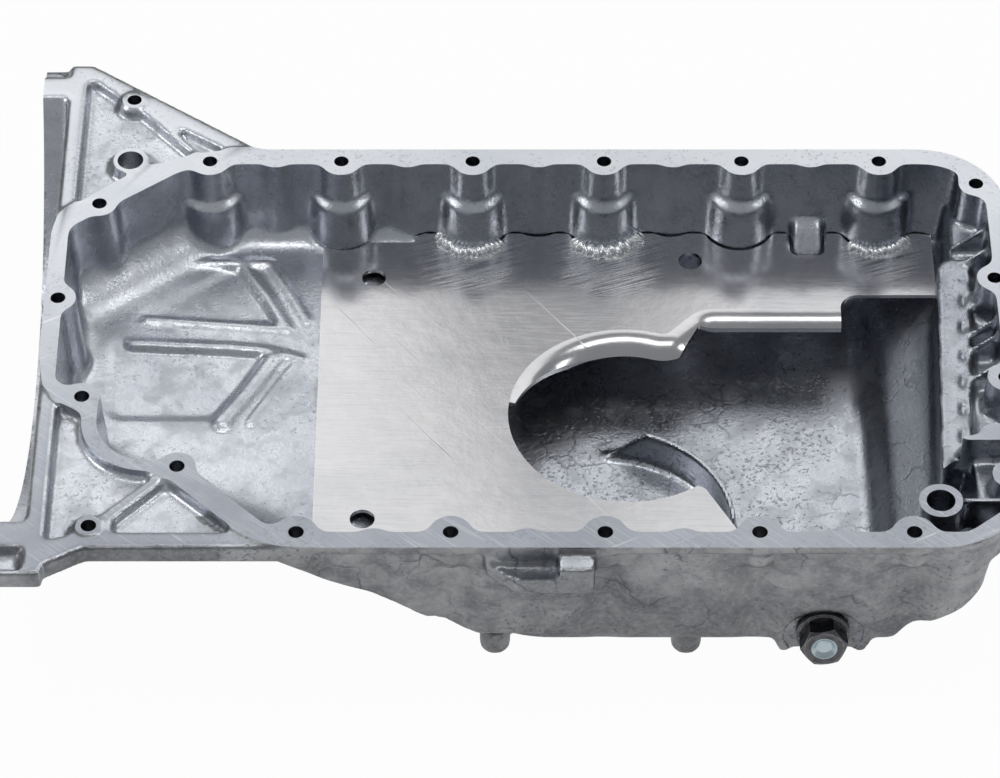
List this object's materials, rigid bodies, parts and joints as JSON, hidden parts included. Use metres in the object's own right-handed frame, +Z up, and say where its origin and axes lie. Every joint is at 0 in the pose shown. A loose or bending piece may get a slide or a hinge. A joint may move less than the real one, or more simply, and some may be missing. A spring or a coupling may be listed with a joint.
{
  "type": "engine oil pan",
  "caption": "Cast oil pan with a flanged rail, a shallow end, a deep sump with a sheet baffle inside, and a drain plug.",
  "frame": {"origin": "middle of the bounding box in plan, at the lowest point of the gearbox flange", "axes": "+X towards the timing end, -X face bolts to the gearbox; +Z up, out of the open top; -Y is the side with the drain plug"},
  "size_m": [0.464, 0.3322, 0.095],
  "materials": {
    "cast_body": "as cast, machined faces brighter",
    "baffle": "smooth rolled sheet",
    "weld": "bright rippled",
    "plug": "dull zinc",
    "washer": "satin"
  },
  "bodies": {
    "pan": {"pan_casting": "cast_body", "baffle_plate": "baffle", "weld_bead_back_left": "weld", "weld_bead_back_middle": "weld", "weld_bead_back_right": "weld"},
    "washer": {"drain_plug_washer": "washer"},
    "plug": {"drain_plug": "plug"}
  },
  "joints": [
    {"name": "plug_travel", "type": "slide", "parent": "pan", "child": "washer", "axis": [0, -0.9848, 0.1736], "range_m": [0, 0.015]},
    {"name": "plug_turn", "type": "hinge", "parent": "washer", "child": "plug", "pos_m": [0.138, -0.1368, 0.0217], "axis": [0, -0.9848, 0.1736], "range_deg": [0, 3600]}
  ],
  "couplings": [
    {"joint": "plug_travel", "follows": "plug_turn", "m_per_rad": 0.00023873}
  ]
}
